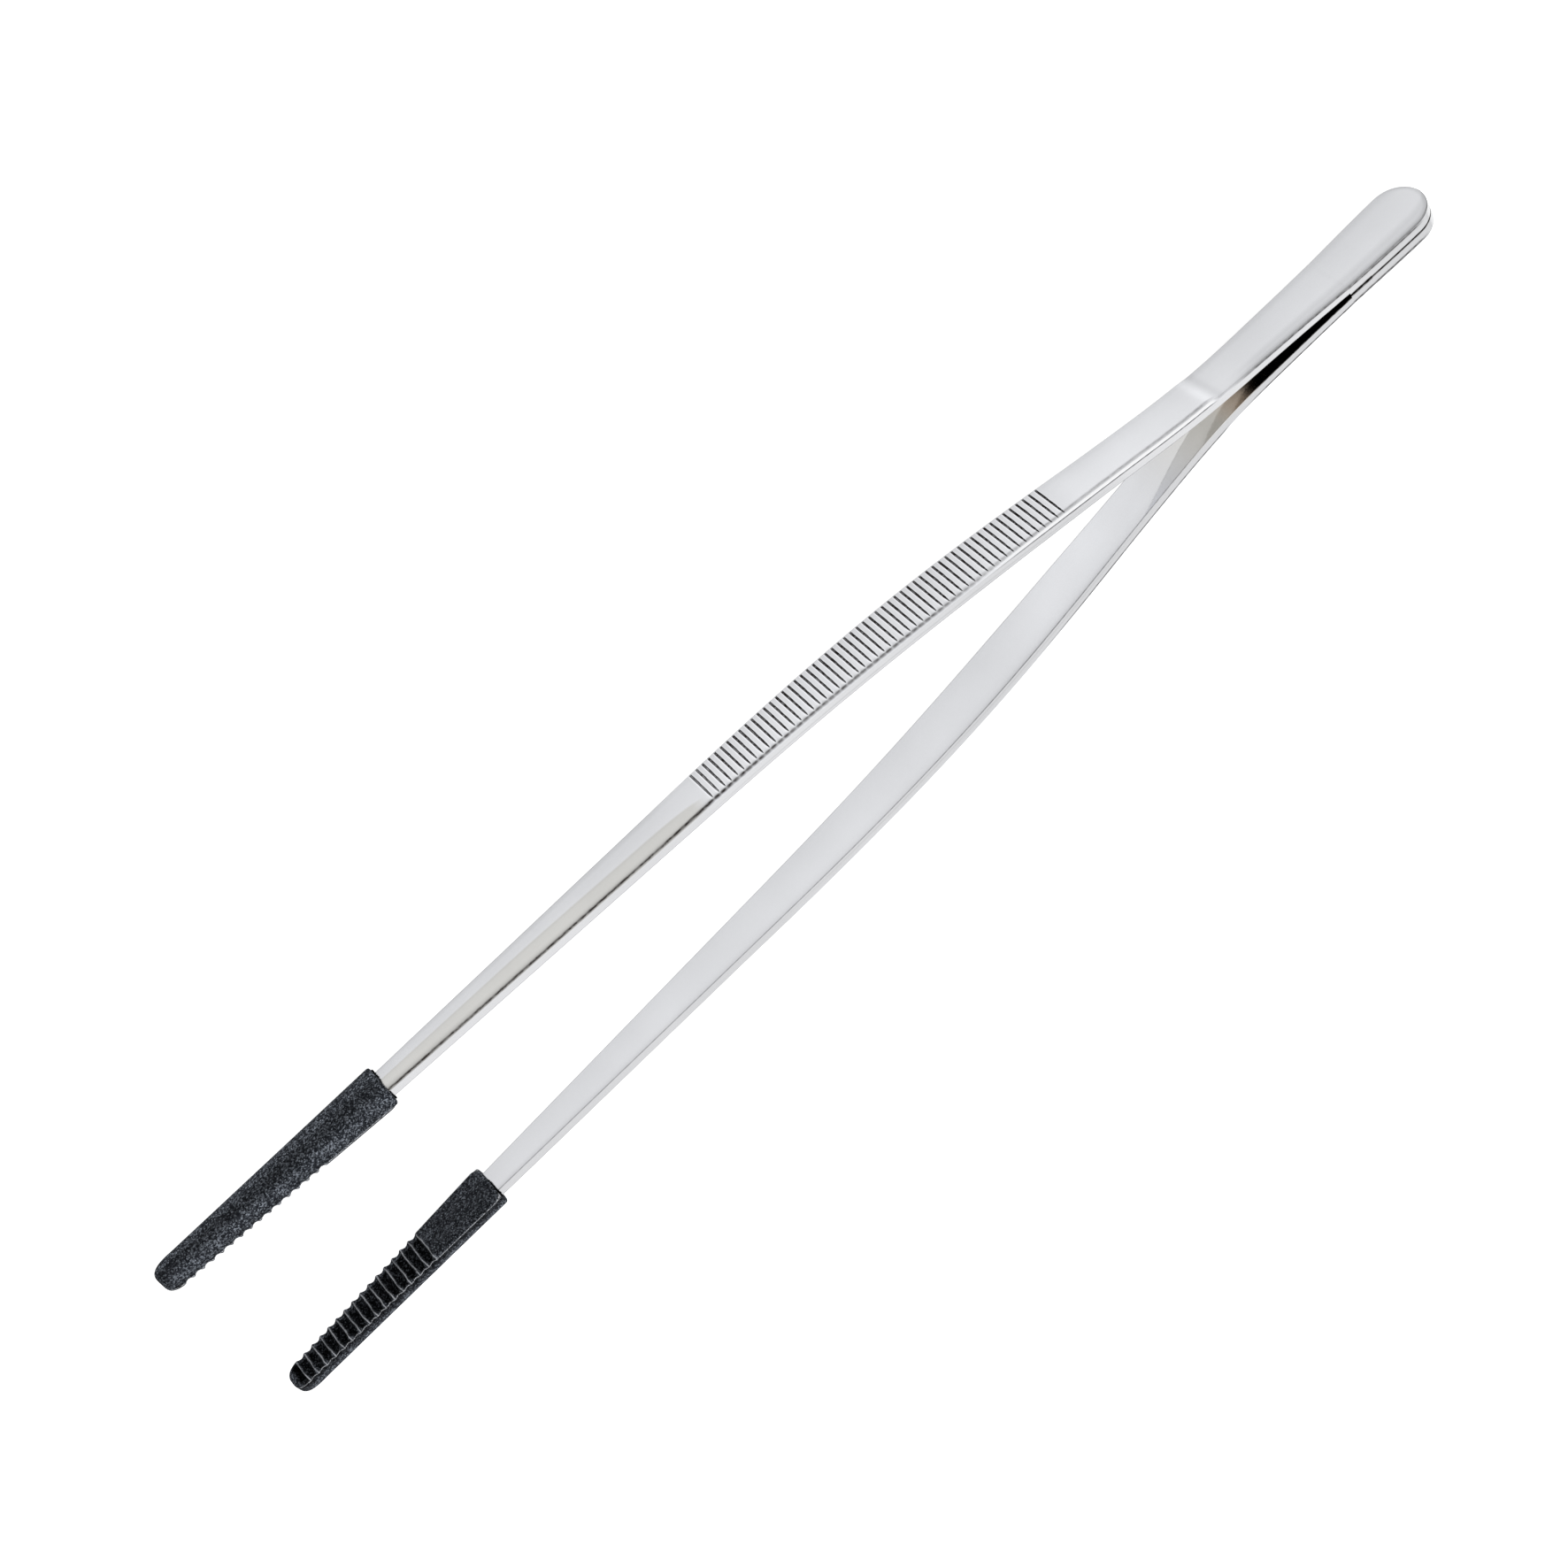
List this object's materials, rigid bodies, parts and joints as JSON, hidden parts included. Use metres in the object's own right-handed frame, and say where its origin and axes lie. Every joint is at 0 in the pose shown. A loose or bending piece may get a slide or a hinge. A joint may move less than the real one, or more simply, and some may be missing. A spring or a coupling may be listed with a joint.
{
  "type": "aquascaping tweezers",
  "caption": "Long straight planting tweezers: two spring steel leaf arms joined at a rounded butt, cross-grooved finger grips, and ribbed push-on rubber sleeves over the tips.",
  "frame": {"origin": "centre of the whole tool: midway between the butt end and the sleeve noses, on the plane between the two arms and at mid-width of the blades", "axes": "+X from the butt to the tips, +Z across the width of the blades, and Y in the direction the arms open; arm A is on -Y and arm B on +Y"},
  "size_m": [0.3, 0.0502, 0.012],
  "materials": {
    "steel_a": "satin stainless steel with polished edges",
    "steel_b": "satin stainless steel with polished edges",
    "sleeve_a": "matte moulded rubber with a fine grain",
    "sleeve_b": "matte moulded rubber with a fine grain"
  },
  "bodies": {
    "butt": {"arm_a_root": "steel_a", "arm_b_root": "steel_b"},
    "blade_a": {"arm_a_blade": "steel_a"},
    "blade_b": {"arm_b_blade": "steel_b"},
    "cover_a": {"sleeve_a": "sleeve_a"},
    "cover_b": {"sleeve_b": "sleeve_b"}
  },
  "joints": [
    {"name": "flex_a", "type": "hinge", "parent": "butt", "child": "blade_a", "pos_m": [-0.105, -0.00234, 0], "axis": [0, 0, 1], "range_deg": [0, 4.52], "stiffness_Nm_per_rad": 4},
    {"name": "flex_b", "type": "hinge", "parent": "butt", "child": "blade_b", "pos_m": [-0.105, 0.00234, 0], "axis": [0, 0, -1], "range_deg": [0, 4.52], "stiffness_Nm_per_rad": 4},
    {"name": "pull_off_a", "type": "slide", "parent": "blade_a", "child": "cover_a", "axis": [0.9969, -0.0788, 0], "range_m": [0, 0.05]},
    {"name": "pull_off_b", "type": "slide", "parent": "blade_b", "child": "cover_b", "axis": [0.9969, 0.0788, 0], "range_m": [0, 0.05]}
  ],
  "couplings": [
    {"joint": "flex_b", "follows": "flex_a", "ratio": 1}
  ]
}
